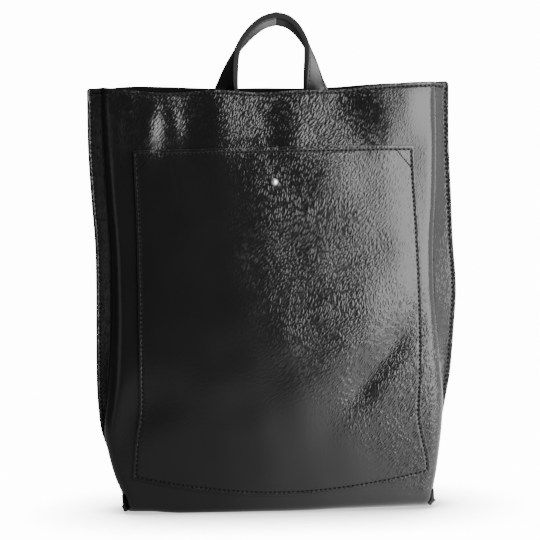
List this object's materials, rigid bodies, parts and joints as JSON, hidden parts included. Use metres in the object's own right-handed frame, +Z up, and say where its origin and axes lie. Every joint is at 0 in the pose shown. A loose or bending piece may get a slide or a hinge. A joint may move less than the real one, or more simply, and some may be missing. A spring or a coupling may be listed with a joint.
{
  "type": "convertible backpack",
  "caption": "Open-top leather tote backpack with a sewn-on front pocket closed by a ball stud, a top carry handle and two shoulder straps.",
  "frame": {"origin": "on the surface that the bag stands on, under the middle of its base, in the plane of the side seams", "axes": "+Z up the bag, +X to the right as seen from the front, -Y out of the front pocket"},
  "size_m": [0.329, 0.1139, 0.4432],
  "materials": {
    "body_leather": "soft semi-gloss pebbled grain",
    "strap_leather": "smooth semi-gloss with painted edges",
    "stud_metal": "polished"
  },
  "bodies": {
    "root": {"front_panel": "body_leather", "back_panel": "body_leather", "front_pocket": "body_leather", "pocket_stud": "stud_metal", "handle": "strap_leather", "shoulder_strap_left": "strap_leather", "shoulder_strap_right": "strap_leather"}
  },
  "joints": []
}
